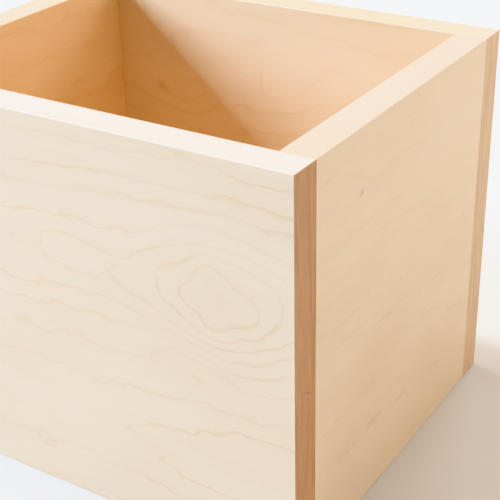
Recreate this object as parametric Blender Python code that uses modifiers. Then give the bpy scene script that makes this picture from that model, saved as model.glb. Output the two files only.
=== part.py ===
"""Open-topped box of solid maple boards.

The front and back boards run the full width and cover the ends of the two side boards. Every corner is a plain
butt joint with a row of blind dowels hidden in it, and the bottom panel floats in a groove round the inside.
X runs along the front, Y towards the back and Z up. The origin is on the table, under the middle of the box.
"""

import math

import bmesh
import bpy
from mathutils import Matrix, Vector

# Outside of the finished box, and the boards it is made from (metres).
WIDTH = 0.260
DEPTH = 0.216
HEIGHT = 0.210
BOARD = 0.018
EASED_EDGE = 0.0008
CLEARANCE = 0.0003

# Bottom panel, let into the four walls. Its grain runs along X, so it needs more room to swell along Y.
BOTTOM_THICKNESS = 0.009
BOTTOM_UNDERSIDE = 0.012
GROOVE_DEPTH = 0.006
ROOM_ALONG_GRAIN = 0.0005
ROOM_ACROSS_GRAIN = 0.0012

# Fluted dowel pins across each corner joint: the short end in the face of the front or back board,
# the long end in the end grain of the side board.
DOWELS_PER_CORNER = 4
DOWEL_DIAMETER = 0.008
DOWEL_LENGTH = 0.030
DOWEL_IN_FACE = 0.012
DOWEL_CHAMFER = 0.0007
DOWEL_FLUTES = 10
FLUTE_DEPTH = 0.0002
LOWEST_DOWEL = 0.036
TOP_DOWEL_BELOW_RIM = 0.024
GLUE_WELL = 0.001
HOLE_SEGMENTS = 20

# The boards start this much oversize where the finished outline trims them.
TRIM = 0.004

HALF_WIDTH = WIDTH / 2
HALF_DEPTH = DEPTH / 2
INSIDE_X = HALF_WIDTH - BOARD
INSIDE_Y = HALF_DEPTH - BOARD
BOTTOM_TOP = BOTTOM_UNDERSIDE + BOTTOM_THICKNESS

MAPLE_FRONT = (0.80, 0.68, 0.53)
MAPLE_BACK = (0.78, 0.64, 0.48)
MAPLE_SIDE = (0.79, 0.65, 0.49)
MAPLE_BOTTOM = (0.77, 0.64, 0.49)
BEECH = (0.62, 0.43, 0.27)


def clear_scene():
    """Removes every object that is already in the file."""
    for old in list(bpy.data.objects):
        bpy.data.objects.remove(old)


def new_collection(name):
    """A collection linked to the scene."""
    made = bpy.data.collections.new(name)
    bpy.context.scene.collection.children.link(made)
    return made


def wood(name, colour, roughness):
    """A bare sanded wood: one colour, no metal."""
    made = bpy.data.materials.new(name)
    made.use_nodes = True
    shader = made.node_tree.nodes["Principled BSDF"]
    shader.inputs["Base Color"].default_value = (*colour, 1.0)
    shader.inputs["Roughness"].default_value = roughness
    shader.inputs["Metallic"].default_value = 0.0
    return made


def add_object(name, bm, group, location=(0.0, 0.0, 0.0)):
    """Turns a bmesh into a named object in a collection."""
    mesh = bpy.data.meshes.new(name)
    bm.to_mesh(mesh)
    bm.free()
    made = bpy.data.objects.new(name, mesh)
    made.location = location
    group.objects.link(made)
    return made


def block(name, low, high, group):
    """A cuboid between two opposite corners, with its origin at its centre."""
    low, high = Vector(low), Vector(high)
    bm = bmesh.new()
    bmesh.ops.create_cube(bm, size=1.0)
    bmesh.ops.scale(bm, vec=high - low, verts=bm.verts)
    return add_object(name, bm, group, (low + high) / 2)


def hide_as_cutter(cutter):
    """Shows a cutter as wires only, and keeps it out of renders."""
    cutter.display_type = "WIRE"
    cutter.hide_render = True
    return cutter


def round_edges(piece, radius, segments):
    """Rounds every square edge of a piece."""
    bevel = piece.modifiers.new("eased edges", "BEVEL")
    bevel.width = radius
    bevel.segments = segments
    bevel.limit_method = "ANGLE"


def combine(piece, cutter, operation):
    """Adds a Boolean of the piece with a cutter."""
    boolean = piece.modifiers.new(cutter.name, "BOOLEAN")
    boolean.operation = operation
    boolean.object = cutter


def finished_outline(group):
    """The outside of the glued and sanded box, with its edges eased. It trims the four walls."""
    outline = block("finished_outline", (-HALF_WIDTH, -HALF_DEPTH, 0.0), (HALF_WIDTH, HALF_DEPTH, HEIGHT), group)
    round_edges(outline, EASED_EDGE, 3)
    return hide_as_cutter(outline)


def rim_chamfer(group):
    """A shallow flare over the opening. It takes the sharp edge off the inside of the rim."""
    bm = bmesh.new()
    bmesh.ops.create_cube(bm, size=2.0)
    for corner in bm.verts:
        spread = TRIM if corner.co.z > 0 else -TRIM
        corner.co.x *= INSIDE_X + spread
        corner.co.y *= INSIDE_Y + spread
        corner.co.z *= TRIM
    return hide_as_cutter(add_object("rim_chamfer", bm, group, (0.0, 0.0, HEIGHT - EASED_EDGE)))


def bottom_housing(group):
    """The groove round the inside of the walls. It stops short of the ends of the front and back boards."""
    reach_x = INSIDE_X + GROOVE_DEPTH
    reach_y = INSIDE_Y + GROOVE_DEPTH
    low = (-reach_x, -reach_y, BOTTOM_UNDERSIDE - CLEARANCE)
    high = (reach_x, reach_y, BOTTOM_TOP + CLEARANCE)
    return hide_as_cutter(block("bottom_housing", low, high, group))


def dowel_places():
    """Name and middle of every dowel. Each corner has a row of them, numbered from the bottom."""
    in_end = DOWEL_LENGTH - DOWEL_IN_FACE
    from_middle_x = INSIDE_X + BOARD / 2
    from_middle_y = INSIDE_Y + (DOWEL_IN_FACE - in_end) / 2
    step = (HEIGHT - TOP_DOWEL_BELOW_RIM - LOWEST_DOWEL) / (DOWELS_PER_CORNER - 1)
    for end, y_sign in (("front", -1), ("back", 1)):
        for side, x_sign in (("left", -1), ("right", 1)):
            for i in range(DOWELS_PER_CORNER):
                middle = Vector((x_sign * from_middle_x, y_sign * from_middle_y, LOWEST_DOWEL + i * step))
                yield f"dowel_{end}_{side}_{i + 1}", middle


def dowel_holes(group):
    """The drilled holes of all four corners. Each runs across a joint, from one board into the other."""
    bm = bmesh.new()
    for _, middle in dowel_places():
        bmesh.ops.create_cone(
            bm,
            cap_ends=True,
            segments=HOLE_SEGMENTS,
            radius1=DOWEL_DIAMETER / 2 + CLEARANCE,
            radius2=DOWEL_DIAMETER / 2 + CLEARANCE,
            depth=DOWEL_LENGTH + 2 * GLUE_WELL,
            matrix=Matrix.Translation(middle) @ Matrix.Rotation(math.pi / 2, 4, "X"),
        )
    return hide_as_cutter(add_object("dowel_holes", bm, group))


def fluted_dowel(material):
    """Mesh of a beech dowel pin along its own Z: fluted for the glue, with chamfered ends."""
    bm = bmesh.new()
    bmesh.ops.create_cone(
        bm,
        cap_ends=True,
        segments=2 * DOWEL_FLUTES,
        radius1=DOWEL_DIAMETER / 2,
        radius2=DOWEL_DIAMETER / 2,
        depth=DOWEL_LENGTH - 2 * DOWEL_CHAMFER,
    )
    for corner in bm.verts:
        turn = math.atan2(corner.co.y, corner.co.x) / (math.pi / DOWEL_FLUTES)
        if round(turn) % 2:
            shrink = 1 - FLUTE_DEPTH / (DOWEL_DIAMETER / 2)
            corner.co.x *= shrink
            corner.co.y *= shrink
    ends = [face for face in bm.faces if abs(face.normal.z) > 0.5]
    for end in ends:
        outward = Vector((0.0, 0.0, math.copysign(DOWEL_CHAMFER, end.normal.z)))
        bmesh.ops.inset_region(bm, faces=[end], thickness=DOWEL_CHAMFER, use_even_offset=True)
        bmesh.ops.translate(bm, verts=end.verts, vec=outward)
    mesh = bpy.data.meshes.new("fluted_dowel")
    bm.to_mesh(mesh)
    bm.free()
    mesh.materials.append(material)
    return mesh


def wall(name, low, high, colour, group, cutters):
    """One wall board: an oversize blank, trimmed to the outline, then chamfered, grooved and drilled."""
    board = block(name, low, high, group)
    board.data.materials.append(wood(f"maple_{name}", colour, 0.45))
    outline, *removed = cutters
    combine(board, outline, "INTERSECT")
    for cutter in removed:
        combine(board, cutter, "DIFFERENCE")


def build_walls(group, cutters):
    """The front and back boards run the full width. The side boards fit between them."""
    bottom, top = -TRIM, HEIGHT + TRIM
    outer_x, outer_y = HALF_WIDTH + TRIM, HALF_DEPTH + TRIM
    side_end = INSIDE_Y - CLEARANCE
    wall("front_panel", (-outer_x, -outer_y, bottom), (outer_x, -INSIDE_Y, top), MAPLE_FRONT, group, cutters)
    wall("back_panel", (-outer_x, INSIDE_Y, bottom), (outer_x, outer_y, top), MAPLE_BACK, group, cutters)
    wall("left_panel", (-outer_x, -side_end, bottom), (-INSIDE_X, side_end, top), MAPLE_SIDE, group, cutters)
    wall("right_panel", (INSIDE_X, -side_end, bottom), (outer_x, side_end, top), MAPLE_SIDE, group, cutters)


def build_bottom(group):
    """The bottom panel, loose in its groove with room to swell."""
    reach_x = INSIDE_X + GROOVE_DEPTH - ROOM_ALONG_GRAIN
    reach_y = INSIDE_Y + GROOVE_DEPTH - ROOM_ACROSS_GRAIN
    low, high = (-reach_x, -reach_y, BOTTOM_UNDERSIDE), (reach_x, reach_y, BOTTOM_TOP)
    panel = block("bottom_panel", low, high, group)
    panel.data.materials.append(wood("maple_bottom", MAPLE_BOTTOM, 0.5))
    round_edges(panel, EASED_EDGE, 2)


def build_dowels(group):
    """Lays a dowel in every hole, along Y. They all share one mesh."""
    mesh = fluted_dowel(wood("beech_dowel", BEECH, 0.6))
    for name, middle in dowel_places():
        dowel = bpy.data.objects.new(name, mesh)
        dowel.location = middle
        dowel.rotation_euler = (math.pi / 2, 0.0, 0.0)
        group.objects.link(dowel)


def main():
    clear_scene()
    box = new_collection("maple_box")
    tools = new_collection("cutters")
    cutters = [finished_outline(tools), rim_chamfer(tools), bottom_housing(tools), dowel_holes(tools)]
    build_walls(box, cutters)
    build_bottom(box)
    build_dowels(box)


main()
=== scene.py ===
"""The looks of the open-topped maple box: boards, wood, light and camera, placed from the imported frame."""

import math
import typing

import bmesh
import bpy
from mathutils import Matrix, Vector


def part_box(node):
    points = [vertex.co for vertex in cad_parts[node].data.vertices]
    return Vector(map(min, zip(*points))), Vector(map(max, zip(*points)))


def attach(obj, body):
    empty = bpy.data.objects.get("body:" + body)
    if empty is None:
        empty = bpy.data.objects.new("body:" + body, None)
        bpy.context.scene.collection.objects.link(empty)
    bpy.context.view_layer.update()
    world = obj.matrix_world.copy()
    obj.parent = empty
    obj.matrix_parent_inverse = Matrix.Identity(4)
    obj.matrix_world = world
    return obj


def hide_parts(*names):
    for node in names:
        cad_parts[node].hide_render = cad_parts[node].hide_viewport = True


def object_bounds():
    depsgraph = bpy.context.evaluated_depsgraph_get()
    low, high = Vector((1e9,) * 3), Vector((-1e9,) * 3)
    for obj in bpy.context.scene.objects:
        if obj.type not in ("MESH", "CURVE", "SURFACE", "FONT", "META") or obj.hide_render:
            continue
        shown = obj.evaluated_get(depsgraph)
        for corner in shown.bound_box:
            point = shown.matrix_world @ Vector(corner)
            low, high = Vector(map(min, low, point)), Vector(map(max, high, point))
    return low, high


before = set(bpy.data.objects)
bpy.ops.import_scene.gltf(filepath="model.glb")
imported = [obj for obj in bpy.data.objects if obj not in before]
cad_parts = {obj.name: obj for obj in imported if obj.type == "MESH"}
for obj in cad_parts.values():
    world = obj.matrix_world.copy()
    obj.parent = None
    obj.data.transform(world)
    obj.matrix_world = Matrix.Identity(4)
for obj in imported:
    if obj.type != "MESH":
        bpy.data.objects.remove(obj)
BOX_LOW, BOX_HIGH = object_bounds()

MM = 0.001

# Sizes that come from the frame.
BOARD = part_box("front_panel")[1].y - BOX_LOW.y
INSIDE = Vector((BOX_HIGH.x - BOARD, BOX_HIGH.y - BOARD, 0.0))
RIM = BOX_HIGH.z
PANEL_LOW, PANEL_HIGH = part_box("bottom_panel")
DOWELS = [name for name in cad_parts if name.startswith("dowel_")]

# Finer finish of the visual boards: rounded edges, hairline joints and room round the hidden parts.
EASED_EDGE = 0.55 * MM
RIM_EDGE = 0.5 * MM
ROUND_STEPS = 8
HALF_HAIRLINE = 0.04 * MM
PANEL_ROOM = 0.3 * MM
HOLE_ROOM = 0.3 * MM
HOLE_SEGMENTS = 24

# The blanks start this much oversize where the rounded outline trims them. The flare rises this far as well.
TRIM = 4 * MM

# Neighbouring faces that meet at less than this angle are shaded as one curve.
SMOOTH_BELOW = math.radians(35)


# ---------------------------------------------------------------- boards


def add_to_scene(name, data):
    """An object that holds a mesh, a lamp or a camera."""
    made = bpy.data.objects.new(name, data)
    bpy.context.scene.collection.objects.link(made)
    return made


def new_object(name, bm):
    """Turns a bmesh into an object at the origin."""
    mesh = bpy.data.meshes.new(name)
    bm.to_mesh(mesh)
    bm.free()
    return add_to_scene(name, mesh)


def block(name, low, high):
    """A cuboid between two opposite corners."""
    bm = bmesh.new()
    bmesh.ops.create_cube(bm, size=1.0)
    bmesh.ops.scale(bm, vec=high - low, verts=bm.verts)
    bmesh.ops.translate(bm, vec=(low + high) / 2, verts=bm.verts)
    return new_object(name, bm)


def rounded_outline():
    """The outside of the sanded box, with a fine round on every edge."""
    outline = block("outline", BOX_LOW, BOX_HIGH)
    bevel = outline.modifiers.new("eased edges", "BEVEL")
    bevel.width = EASED_EDGE
    bevel.segments = ROUND_STEPS
    return outline


def opening_flare():
    """A flare over the opening, in rising steps. It rounds the inner edge of the rim."""
    levels = [(-HALF_HAIRLINE, -RIM_EDGE)]
    for i in range(1, ROUND_STEPS + 1):
        turn = math.pi / 2 * i / ROUND_STEPS
        levels.append((RIM_EDGE * (1 - math.cos(turn)), RIM_EDGE * (math.sin(turn) - 1)))
    levels.append((RIM_EDGE, TRIM))
    bm = bmesh.new()
    rings = []
    for spread, rise in levels:
        half_x, half_y = INSIDE.x + spread, INSIDE.y + spread
        corners = ((-half_x, -half_y), (half_x, -half_y), (half_x, half_y), (-half_x, half_y))
        rings.append([bm.verts.new((x, y, RIM + rise)) for x, y in corners])
    bm.faces.new(reversed(rings[0]))
    bm.faces.new(rings[-1])
    for lower, upper in zip(rings, rings[1:]):
        for i in range(4):
            j = (i + 1) % 4
            bm.faces.new((lower[i], lower[j], upper[j], upper[i]))
    return new_object("opening_flare", bm)


def panel_groove():
    """The groove that holds the bottom panel."""
    room = Vector((PANEL_ROOM, PANEL_ROOM, PANEL_ROOM))
    return block("panel_groove", PANEL_LOW - room, PANEL_HIGH + room)


def dowel_holes():
    """One hole round each hidden dowel."""
    bm = bmesh.new()
    for name in DOWELS:
        low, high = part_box(name)
        radius = (high.x - low.x) / 2 + HOLE_ROOM
        bmesh.ops.create_cone(
            bm,
            cap_ends=True,
            segments=HOLE_SEGMENTS,
            radius1=radius,
            radius2=radius,
            depth=high.y - low.y + 2 * HOLE_ROOM,
            matrix=Matrix.Translation((low + high) / 2) @ Matrix.Rotation(math.pi / 2, 4, "X"),
        )
    return new_object("dowel_holes", bm)


def apply_modifiers(piece):
    """Replaces a piece's mesh with what its modifiers make of it."""
    bpy.context.view_layer.update()
    shaped = piece.evaluated_get(bpy.context.evaluated_depsgraph_get())
    piece.data = bpy.data.meshes.new_from_object(shaped)
    piece.modifiers.clear()


def smooth_curves(piece):
    """Smooth shading over the rounds, with the flat faces left flat."""
    for face in piece.data.polygons:
        face.use_smooth = True
    piece.data.set_sharp_from_angle(angle=SMOOTH_BELOW)
    flats = piece.modifiers.new("flat faces", "WEIGHTED_NORMAL")
    flats.keep_sharp = True


def wall(node, cutters, between):
    """One wall board in place of its CAD node. A board between two others stops a hairline short of them."""
    low, high = (corner.copy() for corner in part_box(node))
    for axis in range(2):
        if low[axis] <= BOX_LOW[axis]:
            low[axis] -= TRIM
        if high[axis] >= BOX_HIGH[axis]:
            high[axis] += TRIM
    low.z -= TRIM
    high.z += TRIM
    if between:
        low.y = -INSIDE.y + HALF_HAIRLINE
        high.y = INSIDE.y - HALF_HAIRLINE
    board = block(node + "_board", low, high)
    outline, *removed = cutters
    for cutter in cutters:
        boolean = board.modifiers.new(cutter.name, "BOOLEAN")
        boolean.object = cutter
        boolean.operation = "INTERSECT" if cutter is outline else "DIFFERENCE"
    apply_modifiers(board)
    smooth_curves(board)
    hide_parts(node)
    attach(board, "root")
    return board


def build_boards():
    """The four walls. The front and back run the full width, and the sides fit between them."""
    cutters = [rounded_outline(), opening_flare(), panel_groove(), dowel_holes()]
    boards = {}
    for side in ("front", "back", "left", "right"):
        boards[side] = wall(f"{side}_panel", cutters, between=side in ("left", "right"))
    for cutter in cutters:
        bpy.data.objects.remove(cutter)
    return boards


# ---------------------------------------------------------------- wood

# The wood works in millimetres. A place on a board is how far it is along the grain, across it, and in depth
# below the outer face. A ring height is counted in growth rings: it rises by one from ring to ring.
RING_DEPTH = 1.7

# This part of a ring's line, in its middle, is fully dark. Where the rings lie flat, their slope counts as at
# least this, so that a line can't spread over a whole face.
LINE_CORE = 0.15
FLATTEST_SLOPE = 0.03

# The soft dark fade at the end of a ring, and the fine lines between the rings. The sharper, the narrower.
LATE_WOOD_SHARPNESS = 5.0
LATE_WOOD_SHARE = 0.28
FINE_LINES_PER_RING = 4.0
FINE_LINE_SHARPNESS = 6.0
FINE_LINE_STRENGTH = 0.22

# Waves in the ring heights: their size along, across and in depth, and how many rings high they are.
LONG_WAVER = (34, 12, 12)
LONG_WAVER_RISE = 0.16
SHORT_WAVER = (11, 6, 6)
SHORT_WAVER_RISE = 0.12
FINE_WAVER = (40, 6, 6)
FINE_WAVER_RISE = 0.4
BOARD_DRIFT = (150, 60, 60)

# Sizes of the other patterns along, across and in depth.
PATCH_SIZE = (60, 16, 16)
CLOUD_SIZE = (90, 35, 35)
FIBRE_SIZE = (30, 0.55, 0.55)
FLECK_SIZE = (2.6, 0.3, 0.3)
PORE_SIZE = (2.0, 0.28, 0.28)
BROAD_STREAK_SIZE = (60, 45, 2.6)
NARROW_STREAK_SIZE = (60, 16, 0.7)

# How far each pattern's noise is shifted along, across and in depth for one step of its seed.
SEED_SHIFT = (1.0, 1.7, -2.3)

# The colour of early wood, and the tones that multiply it.
EARLY_WOOD = (0.85, 0.68, 0.46)
CLOUD = (0.95, 0.92, 0.88)
FIBRE = (0.94, 0.91, 0.86)
RAY_FLECK = (0.88, 0.82, 0.74)
RING_LINE = (0.925, 0.865, 0.77)
PORE = (0.80, 0.74, 0.66)
DARK_STREAK = (0.91, 0.88, 0.85)
LIGHT_STREAK = (1.06, 1.07, 1.08)
MARK = (0.60, 0.47, 0.36)
# The rounded edges are lighter, partly from wear and partly from a painted highlight where the rounds catch
# the light. The upright tone is stronger: its painted highlight fills the shade where the near corner turns
# from front to side.
LEVEL_EDGE_WEAR_AND_HIGHLIGHT = (1.02, 1.03, 1.05)
UPRIGHT_EDGE_WEAR_AND_HIGHLIGHT = (1.10, 1.15, 1.22)

# A surface starts to count as an end or a top at the first of these parts of its normal, and fully counts at
# the second. A place counts as on a board's outer or inner face within the skin.
FACING_START = 0.45
FACING_FULL = 0.95
SKIN = 1.0

# The lighter tone on an edge, part wear and part painted highlight, begins at the first of these distances
# from it, and is complete at the second.
EDGE_LIGHTENING_START = 1.1
EDGE_LIGHTENING_FULL = 0.3

# Fibres stand up, and ring lines and flecks lie lower.
RELIEF_STRENGTH = 0.25
RELIEF_HEIGHT = 0.05 * MM
FIBRE_RELIEF = 0.5
RING_RELIEF = -0.3
FLECK_RELIEF = -0.2

# The roughness runs between two values with the fibres. Ring lines are smoother and end grain is rougher.
SMOOTHEST = 0.44
ROUGHEST = 0.54
RING_ROUGHNESS = -0.05
END_ROUGHNESS = 0.15
WOOD_IOR = 1.46


class Nodes:
    """Adds shader nodes to a new material. An input is a plain value or another node's output."""

    def __init__(self, name):
        self.material = bpy.data.materials.new(name)
        self.material.use_nodes = True
        self.tree = self.material.node_tree
        self.tree.nodes.clear()

    def add(self, kind, *inputs, named=None, **settings):
        """A node. Inputs are given in order, or in `named` by their socket's name or number."""
        node = self.tree.nodes.new("ShaderNode" + kind)
        for key, value in settings.items():
            setattr(node, key, value)
        for key, value in [*enumerate(inputs), *(named or {}).items()]:
            if isinstance(value, bpy.types.NodeSocket):
                self.tree.links.new(value, node.inputs[key])
            else:
                node.inputs[key].default_value = value
        return node

    def math(self, operation, *inputs):
        """The result of a sum on numbers."""
        return self.add("Math", *inputs, operation=operation).outputs[0]

    def vector(self, operation, *inputs):
        """The result of a sum on vectors."""
        return self.add("VectorMath", *inputs, operation=operation).outputs[0]

    def parts(self, vector):
        """The three parts of a vector, by number or by X, Y and Z."""
        return self.add("SeparateXYZ", vector).outputs

    def joined(self, *parts):
        """A vector made of up to three parts."""
        return self.add("CombineXYZ", *parts).outputs[0]

    def point_in_mm(self):
        """The shaded point in the box's own millimetres."""
        return self.vector("MULTIPLY", self.add("TexCoord").outputs["Object"], (1 / MM, 1 / MM, 1 / MM))

    def total(self, values):
        """The sum of several outputs."""
        sum_so_far, *rest = values
        for value in rest:
            sum_so_far = self.math("ADD", sum_so_far, value)
        return sum_so_far

    def step(self, value, start, end, low=0.0, high=1.0):
        """Runs smoothly from low to high while the value goes from start to end."""
        named = {"Value": value, "From Min": start, "From Max": end, "To Min": low, "To Max": high}
        return self.add("MapRange", named=named, interpolation_type="SMOOTHSTEP").outputs[0]

    def noise(self, place, size, detail=2.0, seed=0.0):
        """Noise about 0.5, with features of that size along each axis of the place."""
        shift = [share * seed for share in SEED_SHIFT]
        scaled = self.vector("MULTIPLY_ADD", place, [1 / s for s in size], shift)
        return self.add("TexNoise", named={"Vector": scaled, "Scale": 1.0, "Detail": detail}).outputs["Fac"]

    def wave(self, place, size, height, detail=2.0, seed=0.0):
        """Noise about zero. Its hills and hollows are about that high."""
        swing = self.noise(place, size, detail, seed)
        return self.math("MULTIPLY_ADD", swing, 4 * height, -2 * height)

    def tint(self, colour, share, tone):
        """Multiplies a share of a tone into a colour."""
        named = {0: share, 6: colour, 7: (*tone, 1.0)}
        return self.add("Mix", named=named, data_type="RGBA", blend_type="MULTIPLY").outputs[2]


def board_place(nodes, along, outer_axis, outer_face):
    """The place on a board, from the axis of its grain, the axis through it and where its outer face is."""
    parts = nodes.parts(nodes.point_in_mm())
    across = next(axis for axis in "ZYX" if axis not in (along, outer_axis))
    depth = nodes.math("ABSOLUTE", nodes.math("SUBTRACT", parts[outer_axis], outer_face / MM))
    return nodes.joined(parts[along], parts[across], depth)


def on_face(nodes, place):
    """A place with its depth left out."""
    along, across, _ = nodes.parts(place)
    return nodes.joined(along, across)


def hill(nodes, flat_place, height, middle, reach, turn=0.0):
    """A smooth hill or hollow. It falls to nothing at its reach."""
    local = nodes.add(
        "Mapping",
        flat_place,
        vector_type="TEXTURE",
        named={
            "Location": (*middle, 0.0),
            "Rotation": (0.0, 0.0, math.radians(turn)),
            "Scale": (*reach, 1.0),
        },
    ).outputs[0]
    closeness = nodes.add("TexGradient", local, gradient_type="SPHERICAL").outputs["Fac"]
    return nodes.step(closeness, 0.0, 1.0, high=height)


def hills(nodes, flat_place, shapes):
    """One hill or hollow for each shape."""
    return [hill(nodes, flat_place, *shape) for shape in shapes]


def profile(nodes, value, points):
    """A smooth curve through (value, result) points."""
    first, last = points[0][0], points[-1][0]
    highest = max(result for _, result in points)
    share = nodes.add("MapRange", named={"Value": value, "From Min": first, "From Max": last}).outputs[0]
    curve = nodes.add("FloatCurve", named={"Value": share})
    dots = curve.mapping.curves[0].points
    for dot, (place, result) in zip(dots, (points[0], points[-1])):
        dot.location = ((place - first) / (last - first), result / highest)
    for place, result in points[1:-1]:
        dots.new((place - first) / (last - first), result / highest)
    curve.mapping.update()
    return nodes.math("MULTIPLY", curve.outputs[0], highest)


def front_rings(nodes, place):
    """Ring heights of the front board: an eye near the right end, an island beside it, a pointed arch below.

    The profile gives the ring height at each level on the board. The levels lean a little, like the grain.
    """
    along, up, _ = nodes.parts(place)
    lean = -0.045
    level = nodes.math("MULTIPLY_ADD", along, lean, up)
    steady = profile(nodes, level, [
        (0, 2.0), (26, 1.0), (38, 0.5), (50, 0.32), (62, 0.5), (76, 1.0), (112, 3.0),
        (127, 4.2), (142, 4.85), (160, 4.0), (176, 3.0), (187, 2.0), (202, 1.0), (214, 0.3),
    ])
    eye = [
        (3.05, (91, 138), (58, 50)),
        (0.55, (86, 156), (12, 14)),
        (0.35, (108, 136), (14, 12)),
        (0.60, (87, 125), (17, 11)),
        (-0.45, (104, 152), (14, 12), -30),
        (-0.35, (70, 150), (12, 10), 30),
    ]
    around_eye = [
        (-1.2, (76, 103), (36, 17), -16),
        (0.5, (44, 136), (18, 18)),
        (0.25, (70, 178), (80, 24)),
        (-0.4, (130, 205), (60, 30)),
    ]
    island = [(0.65, (8, 144), (34, 16), -12)]
    arch = [(-1.25, (112, 49), (104, 48), 3)]
    shapes = eye + around_eye + island + arch
    return nodes.total([steady, *hills(nodes, on_face(nodes, place), shapes)])


def plain_rings(seed, spacing=14.0, roll=1.2, shapes=()):
    """Ring heights of a quiet flat-sawn board: long lines along the grain that drift and open in places."""

    def rings(nodes, place):
        steady = nodes.math("MULTIPLY", nodes.parts(place)[1], 1 / spacing)
        drift = nodes.wave(place, BOARD_DRIFT, roll, detail=1.0, seed=seed)
        return nodes.total([steady, drift, *hills(nodes, on_face(nodes, place), shapes)])

    return rings


class Look(typing.NamedTuple):
    """What sets one board apart.

    The tones of its body, faces, rim and ends multiply the wood's own colour. The outside and inside tones
    are painted shade on the outer and inner faces, and the rim tone is painted light on the level tops. Its
    ring lines have a strength on each face, and a width in millimetres. A band or a mark is its strength,
    middle, reach and turn.
    """

    body: tuple = (1.0, 1.0, 1.0)
    # Painted shade on the outer and inner faces.
    outside: tuple = (1.0, 1.0, 1.0)
    inside: tuple = (1.0, 1.0, 1.0)
    # Painted light on the level rims.
    rim: tuple = (1.0, 1.0, 1.0)
    end: tuple = (0.75, 0.53, 0.37)
    rings_outside: float = 0.8
    rings_inside: float = 0.8
    ring_width: float = 1.2
    fine_bands: tuple = ()
    outer_marks: tuple = ()
    inner_marks: tuple = ()
    end_marks: tuple = ()


def rings_per_mm(nodes, place, rings, here):
    """How closely the rings are packed on a face, found from the next millimetre along it and across it."""
    rises = []
    for step in ((1.0, 0.0, 0.0), (0.0, 1.0, 0.0)):
        there = rings(nodes, nodes.vector("ADD", place, step))
        rises.append(nodes.math("SUBTRACT", there, here))
    slope = nodes.add("VectorMath", nodes.joined(*rises), operation="LENGTH").outputs["Value"]
    return nodes.math("MAXIMUM", slope, FLATTEST_SLOPE)


def ring_marks(nodes, place, rings, look):
    """How dark the growth rings make each point.

    A ring ends in a thin line of even width, with a soft fade up to it and fine lines between the rings.
    Going down from the face, there is a new ring at every RING_DEPTH.
    """
    smooth_height = rings(nodes, place)
    height = nodes.total([
        smooth_height,
        nodes.math("MULTIPLY", nodes.parts(place)[2], 1 / RING_DEPTH),
        nodes.wave(place, LONG_WAVER, LONG_WAVER_RISE, detail=1.0, seed=3.1),
        nodes.wave(place, SHORT_WAVER, SHORT_WAVER_RISE, seed=7.7),
    ])
    rings_off = nodes.math("PINGPONG", height, 0.5)
    mm_off = nodes.math("DIVIDE", rings_off, rings_per_mm(nodes, place, rings, smooth_height))
    line = nodes.step(mm_off, look.ring_width, LINE_CORE * look.ring_width)
    late = nodes.math("POWER", nodes.math("FRACT", height), LATE_WOOD_SHARPNESS)
    fade = nodes.math("MULTIPLY", late, LATE_WOOD_SHARE)
    fine_waver = nodes.wave(place, FINE_WAVER, FINE_WAVER_RISE, seed=1.3)
    fine_height = nodes.math("MULTIPLY_ADD", height, FINE_LINES_PER_RING, fine_waver)
    fine_line = nodes.math("POWER", nodes.math("FRACT", fine_height), FINE_LINE_SHARPNESS)
    bands = hills(nodes, on_face(nodes, place), look.fine_bands)
    dark = nodes.math("MULTIPLY_ADD", fine_line, nodes.total([FINE_LINE_STRENGTH, *bands]), line)
    patches = nodes.noise(place, PATCH_SIZE, detail=1.0, seed=5.0)
    patchy = nodes.step(patches, 0.35, 0.65, low=0.35)
    return nodes.math("MULTIPLY_ADD", dark, patchy, fade)


def own_marks(nodes, place, outer, inner, end, look):
    """How dark each of a board's own small marks and stains makes a point."""
    along, across, depth = nodes.parts(place)
    face = nodes.joined(along, across)
    section = nodes.joined(depth, across)
    right_end = nodes.math("MULTIPLY", end, nodes.step(along, 0.0, 1.0))
    layers = [
        (look.outer_marks, face, outer),
        (look.inner_marks, face, inner),
        (look.end_marks, section, right_end),
    ]
    return [
        nodes.math("MULTIPLY", surface, mark)
        for marks, flat_place, surface in layers
        for mark in hills(nodes, flat_place, marks)
    ]


def edge_wear_and_highlight(nodes):
    """Where the level edges and the upright edges of the box are rounded: 1 there, 0 a millimetre away. They
    are lightened for wear and a painted highlight.
    """
    x, y, z = nodes.parts(nodes.vector("ABSOLUTE", nodes.point_in_mm()))
    to_side = nodes.math("SUBTRACT", BOX_HIGH.x / MM, x)
    to_front = nodes.math("SUBTRACT", BOX_HIGH.y / MM, y)
    past_side = nodes.math("SUBTRACT", x, INSIDE.x / MM)
    past_front = nodes.math("SUBTRACT", y, INSIDE.y / MM)
    to_inside = nodes.math("ABSOLUTE", nodes.math("MAXIMUM", past_side, past_front))
    to_wall_face = nodes.math("MINIMUM", to_inside, nodes.math("MINIMUM", to_side, to_front))
    to_rim_or_foot = nodes.math("MINIMUM", nodes.math("SUBTRACT", RIM / MM, z), z)
    level_edge = nodes.math("MAXIMUM", to_wall_face, to_rim_or_foot)
    upright_edge = nodes.math("MAXIMUM", to_side, to_front)
    return [nodes.step(edge, EDGE_LIGHTENING_START, EDGE_LIGHTENING_FULL) for edge in (level_edge, upright_edge)]


def end_grain(nodes, place, end, tone):
    """The shares and tones of a darker sawn end, streaked along the rings and pricked with pores."""
    pores = nodes.step(nodes.noise(place, PORE_SIZE, detail=1.0, seed=6.0), 0.50, 0.72, high=0.4)
    dark_streaks = nodes.step(nodes.noise(place, BROAD_STREAK_SIZE, seed=8.0), 0.52, 0.35)
    light_streaks = nodes.step(nodes.noise(place, NARROW_STREAK_SIZE, seed=12.0), 0.5, 0.68)
    return [
        (end, tone),
        (nodes.math("MULTIPLY", end, pores), PORE),
        (nodes.math("MULTIPLY", end, dark_streaks), DARK_STREAK),
        (nodes.math("MULTIPLY", end, light_streaks), LIGHT_STREAK),
    ]


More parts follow.
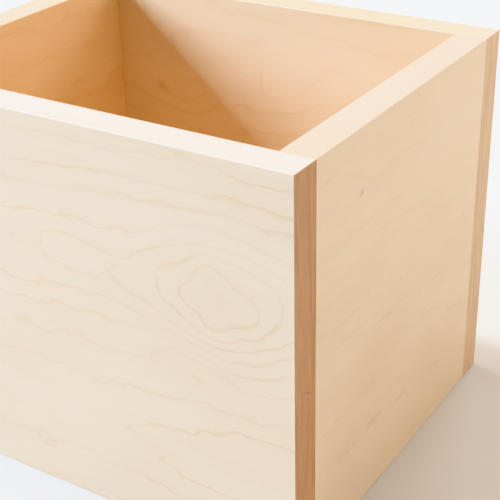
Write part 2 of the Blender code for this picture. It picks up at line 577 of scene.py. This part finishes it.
def bare_surface(nodes, wood, fibre, fleck, dark, end):
    """Ends a material with a bare sanded surface of that colour, with its fine relief and roughness."""
    relief = nodes.total([
        nodes.math("MULTIPLY", fibre, FIBRE_RELIEF),
        nodes.math("MULTIPLY", dark, RING_RELIEF),
        nodes.math("MULTIPLY", fleck, FLECK_RELIEF),
    ])
    bump = nodes.add(
        "Bump",
        named={"Strength": RELIEF_STRENGTH, "Distance": RELIEF_HEIGHT, "Height": relief},
    )
    roughness = nodes.total([
        nodes.step(fibre, 0.2, 0.8, SMOOTHEST, ROUGHEST),
        nodes.math("MULTIPLY", dark, RING_ROUGHNESS),
        nodes.math("MULTIPLY", end, END_ROUGHNESS),
    ])
    shader = nodes.add(
        "BsdfPrincipled",
        named={"Base Color": wood, "Roughness": roughness, "IOR": WOOD_IOR, "Normal": bump.outputs[0]},
    )
    nodes.add("OutputMaterial", shader.outputs[0])


def maple(name, along, outer_axis, outer_face, rings, look):
    """Bare sanded maple: growth rings, fibres, ray flecks, darker end grain, lighter edges of wear and
    painted highlight, and the painted shade and light of the board's look.
    """
    nodes = Nodes(name)
    place = board_place(nodes, along, outer_axis, outer_face)
    normal = nodes.add("TexCoord").outputs["Normal"]
    facing = nodes.parts(nodes.vector("ABSOLUTE", normal))
    end = nodes.step(facing[along], FACING_START, FACING_FULL)
    upper = nodes.step(facing["Z"], FACING_START, FACING_FULL)
    depth = nodes.parts(place)[2]
    outer = nodes.step(depth, SKIN, SKIN / 2)
    inner = nodes.step(depth, BOARD / MM - SKIN, BOARD / MM - SKIN / 2)
    strength = nodes.step(inner, 0.0, 1.0, low=look.rings_outside, high=look.rings_inside)
    dark = nodes.math("MULTIPLY", ring_marks(nodes, place, rings, look), strength)
    fibre = nodes.noise(place, FIBRE_SIZE, detail=3.0, seed=2.0)
    fleck = nodes.step(nodes.noise(place, FLECK_SIZE, detail=1.0, seed=9.0), 0.62, 0.75)
    cloud = nodes.noise(place, CLOUD_SIZE, seed=4.0)
    level_edge, upright_edge = edge_wear_and_highlight(nodes)

    wood = (*[share * tone for share, tone in zip(EARLY_WOOD, look.body)], 1.0)
    layers = [
        (nodes.step(cloud, 0.3, 0.7, high=0.6), CLOUD),
        (nodes.step(fibre, 0.3, 0.75, high=0.45), FIBRE),
        (nodes.math("MULTIPLY", fleck, 0.3), RAY_FLECK),
        (dark, RING_LINE),
        # Painted shade on the outer and inner faces, from the board's look.
        (outer, look.outside),
        (inner, look.inside),
        # Painted light on the level rims: highlight or shade set per board.
        (upper, look.rim),
        *end_grain(nodes, place, end, look.end),
        *[(mark, MARK) for mark in own_marks(nodes, place, outer, inner, end, look)],
        # Lighter rounded edges: wear, with a painted highlight.
        (level_edge, LEVEL_EDGE_WEAR_AND_HIGHLIGHT),
        (upright_edge, UPRIGHT_EDGE_WEAR_AND_HIGHLIGHT),
    ]
    for share, tone in layers:
        wood = nodes.tint(wood, share, tone)
    bare_surface(nodes, wood, fibre, fleck, dark, end)
    return nodes.material


def paint(piece, material):
    """Gives a piece one material. A CAD node keeps its mesh and takes the material on the object."""
    if not piece.material_slots:
        piece.data.materials.append(material)
    for slot in piece.material_slots:
        slot.link = "OBJECT"
        slot.material = material


def board_woods():
    """The wood of each board, with the marks that its visible faces have."""
    front = Look(
        body=(0.965, 0.95, 0.995),
        # Painted warm shade on the inner face.
        inside=(1.0, 0.88, 0.75),
        # Painted highlight that whitens the rim.
        rim=(1.0, 1.14, 1.32),
        end=(0.765, 0.54, 0.375),
        rings_outside=0.75,
        ring_width=1.5,
        fine_bands=(
            (0.7, (75, 197), (90, 15)),
            (0.5, (62, 118), (40, 13), -28),
            (0.4, (112, 162), (32, 14), -25),
        ),
        outer_marks=((0.06, (90, 140), (48, 40)),),
        end_marks=((0.6, (11.5, 99.5), (6, 0.7), -29), (0.4, (5, 85), (1.6, 1.2))),
    )
    back = Look(
        body=(1.01, 1.035, 1.035),
        # Painted shade on the outer face, which the lights would wash out.
        outside=(0.91, 0.88, 0.85),
        end=(0.94, 0.81, 0.76),
        rings_outside=1.2,
        rings_inside=0.45,
        ring_width=2.3,
        inner_marks=(
            (0.25, (-81, 147), (8, 5)),
            (0.22, (84, 194.5), (22, 3), 4),
            (0.10, (88, 186), (34, 12)),
        ),
    )
    left = Look(
        body=(1.0, 0.97, 0.94),
        # Painted shade on the outer face, and painted warm shade on the inner face.
        outside=(0.87, 0.85, 0.83),
        inside=(1.01, 0.94, 0.82),
        # Painted highlight that whitens the rim.
        rim=(1.0, 1.05, 1.12),
        rings_outside=1.2,
        rings_inside=0.45,
        ring_width=2.0,
    )
    right = Look(
        body=(1.08, 1.055, 1.08),
        # Painted warm shade on the inner face.
        inside=(1.0, 0.88, 0.75),
        # Painted shade that dulls the rim.
        rim=(0.93, 0.94, 0.97),
        rings_outside=0.25,
        ring_width=1.6,
        outer_marks=(
            (0.68, (-48.5, 178.5), (3.2, 2.0), 55),
            (0.26, (-29, 43.5), (14, 4.5)),
            (0.14, (-58, 42), (20, 4)),
            (0.20, (2, 39.5), (10, 3)),
            (0.08, (-60, 109), (26, 2)),
            (0.08, (-60, 119), (26, 2)),
            (0.12, (-77, 196.5), (13, 2), 8),
        ),
    )
    swirls = ((1.5, (8, 166), (38, 28), 35), (1.1, (-66, 148), (32, 28)))
    back_rings = plain_rings(seed=11.0, spacing=24.0, roll=0.8, shapes=swirls)
    arch = ((1.0, (49, 160), (40, 16)),)
    left_rings = plain_rings(seed=21.0, spacing=24.0, roll=0.8, shapes=arch)
    right_rings = plain_rings(seed=31.0, spacing=20.0)
    return {
        "front": maple("maple_front", "X", "Y", BOX_LOW.y, front_rings, front),
        "back": maple("maple_back", "X", "Y", BOX_HIGH.y, back_rings, back),
        "left": maple("maple_left", "Y", "X", BOX_LOW.x, left_rings, left),
        "right": maple("maple_right", "Y", "X", BOX_HIGH.x, right_rings, right),
    }


def build_box():
    """The boards with their woods. The bottom panel and the dowels keep their CAD meshes."""
    boards = build_boards()
    woods = board_woods()
    for side, board in boards.items():
        paint(board, woods[side])
    warm = Look(body=(1.06, 0.95, 0.84))
    bottom = maple("maple_bottom", "X", "Z", PANEL_HIGH.z, plain_rings(seed=41.0), warm)
    paint(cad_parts["bottom_panel"], bottom)
    dark = Look(body=(0.76, 0.66, 0.60))
    beech = maple("beech", "Y", "X", BOX_HIGH.x, plain_rings(seed=51.0), dark)
    for name in DOWELS:
        paint(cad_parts[name], beech)


# ---------------------------------------------------------------- camera, floor and light

# The camera, fitted to the photo's straight edges: its place, direction and roll, and its lens in mm.
EYE = Vector((0.348, -0.480, 0.403))
LOOK = Vector((-0.4796, 0.7445, -0.4645))
ROLL = math.radians(-1.39)
LENS = 85.95
SENSOR = 36.0

# The floor is a wide flat slab, with its top where the box stands.
FLOOR_REACH = 6.0
FLOOR_THICKNESS = 0.02
FLOOR_COLOUR = (0.61, 0.575, 0.505, 1.0)
FLOOR_ROUGHNESS = 0.7

# The key light is like the sun: its direction, strength, spread and colour.
KEY_DIRECTION = Vector((1.0, 0.12, -0.85))
KEY_STRENGTH = 4.2
KEY_SPREAD = math.radians(3.5)
KEY_COLOUR = (0.585, 0.75, 1.0)

# The soft square lights all face the middle of the box. Each has a place, a width, a power and a colour.
BOX_MIDDLE = Vector((0.0, 0.0, 0.1))
SOFT_LIGHTS = {
    "front_left": ((-1.65, -1.25, 0.98), 0.8, 73.0, (0.58, 0.74, 1.0)),
    "left": ((-2.0, 0.2, 0.9), 1.4, 42.0, (0.88, 0.92, 1.0)),
    "top": ((0.0, 0.0, 2.0), 1.6, 21.0, (1.0, 0.80, 0.68)),
    "right": ((1.4, 0.9, 0.55), 1.4, 12.5, (1.0, 0.955, 0.90)),
    "back": ((0.3, 2.0, 1.2), 1.6, 44.0, (0.85, 0.90, 1.0)),
}
ROOM_COLOUR = (1.0, 0.75, 0.6, 1.0)
ROOM_STRENGTH = 0.10


def turned_to(direction):
    """The turn that points a lamp's or a camera's view along a direction."""
    return direction.to_track_quat("-Z", "Y")


def build_camera():
    """A short telephoto view, down over the near right corner."""
    data = bpy.data.cameras.new("camera")
    data.lens = LENS
    data.sensor_width = SENSOR
    camera = add_to_scene("camera", data)
    level = turned_to(LOOK).to_matrix().to_4x4()
    camera.matrix_world = Matrix.Translation(EYE) @ level @ Matrix.Rotation(ROLL, 4, "Z")
    bpy.context.scene.camera = camera


def build_floor():
    """A plain pale floor."""
    low = Vector((-FLOOR_REACH, -FLOOR_REACH, -FLOOR_THICKNESS))
    high = Vector((FLOOR_REACH, FLOOR_REACH, 0.0))
    floor = block("floor", low, high)
    nodes = Nodes("floor_paper")
    shader = nodes.add("BsdfPrincipled", named={"Base Color": FLOOR_COLOUR, "Roughness": FLOOR_ROUGHNESS})
    nodes.add("OutputMaterial", shader.outputs[0])
    floor.data.materials.append(nodes.material)


def build_key_light():
    """Sun-like light from the left."""
    data = bpy.data.lights.new("key", "SUN")
    data.energy = KEY_STRENGTH
    data.angle = KEY_SPREAD
    data.color = KEY_COLOUR
    add_to_scene("key", data).rotation_euler = turned_to(KEY_DIRECTION).to_euler()


def build_soft_light(name, place, width, power, colour):
    """A soft square light that faces the middle of the box."""
    data = bpy.data.lights.new(name, "AREA")
    data.shape = "SQUARE"
    data.size = width
    data.energy = power
    data.color = colour
    lamp = add_to_scene(name, data)
    lamp.location = place
    lamp.rotation_euler = turned_to(BOX_MIDDLE - Vector(place)).to_euler()


def build_room():
    """The dim warm light that comes from all round."""
    world = bpy.data.worlds.new("room")
    bpy.context.scene.world = world
    world.use_nodes = True
    background = world.node_tree.nodes["Background"]
    background.inputs["Color"].default_value = ROOM_COLOUR
    background.inputs["Strength"].default_value = ROOM_STRENGTH


def main():
    build_box()
    build_camera()
    build_floor()
    build_key_light()
    for name, settings in SOFT_LIGHTS.items():
        build_soft_light(name, *settings)
    build_room()


main()
bpy.context.scene.view_settings.view_transform = "Khronos PBR Neutral"
